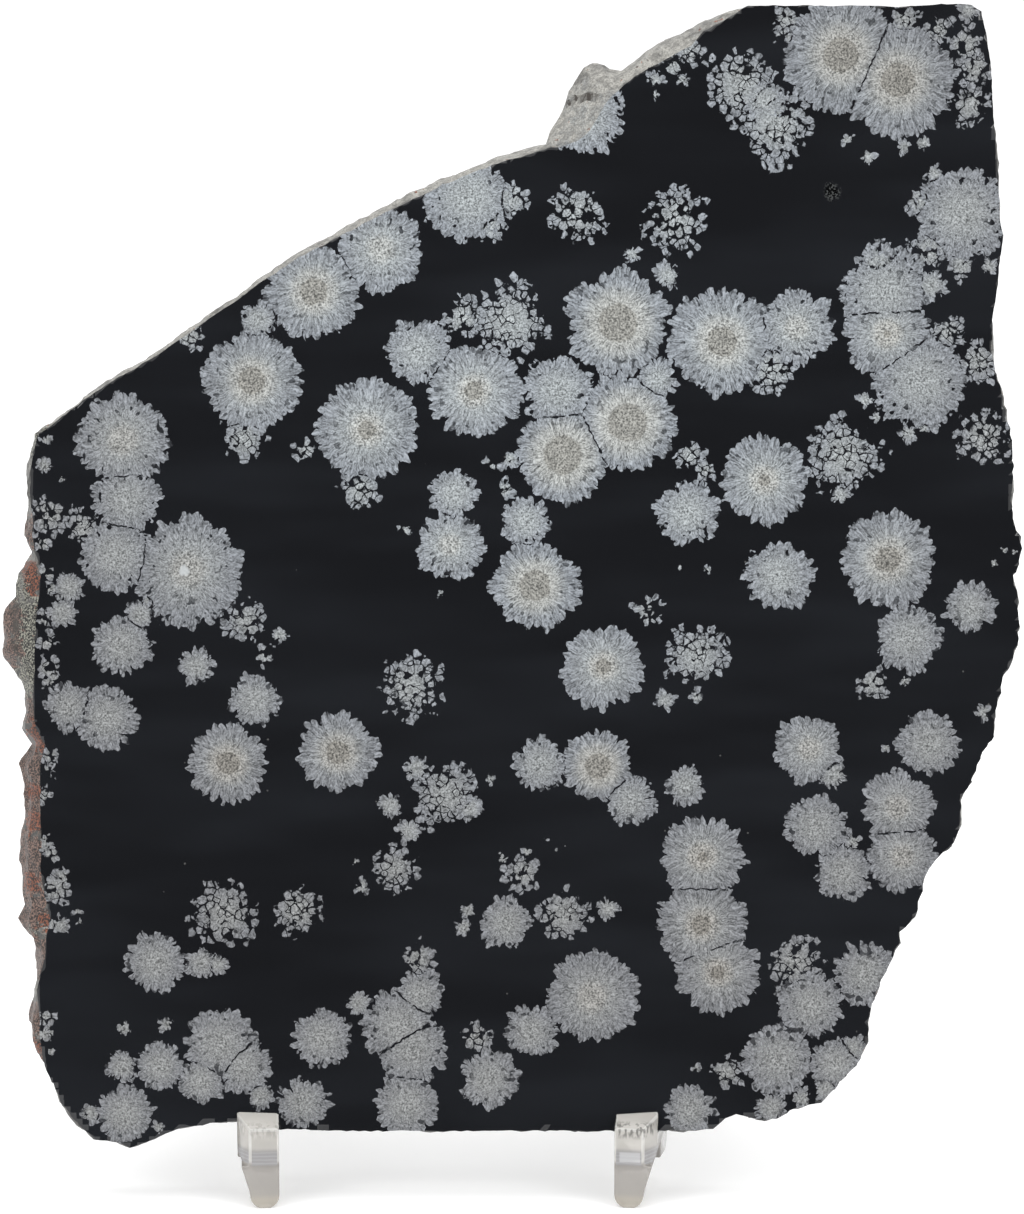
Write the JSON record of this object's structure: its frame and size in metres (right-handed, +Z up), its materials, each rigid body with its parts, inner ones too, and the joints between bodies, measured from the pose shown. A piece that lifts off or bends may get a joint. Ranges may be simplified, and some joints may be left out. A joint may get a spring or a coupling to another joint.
{
  "type": "snowflake obsidian slab on display stand",
  "caption": "Polished slab of snowflake obsidian with a rough natural rim, leaning on a small clear moulded display stand.",
  "frame": {"origin": "centre of the bounding box's footprint, on the surface that the stand's feet rest on", "axes": "+Z up; -Y is the side that the polished face looks to; +X to the right of someone facing the polished face"},
  "size_m": [0.1535, 0.0624, 0.1776],
  "materials": {
    "obsidian": "polished",
    "clear_plastic": "gloss"
  },
  "bodies": {
    "root": {"slab": "obsidian", "stand_arm_left": "clear_plastic", "stand_arm_right": "clear_plastic", "stand_crossbar": "clear_plastic"}
  },
  "joints": []
}
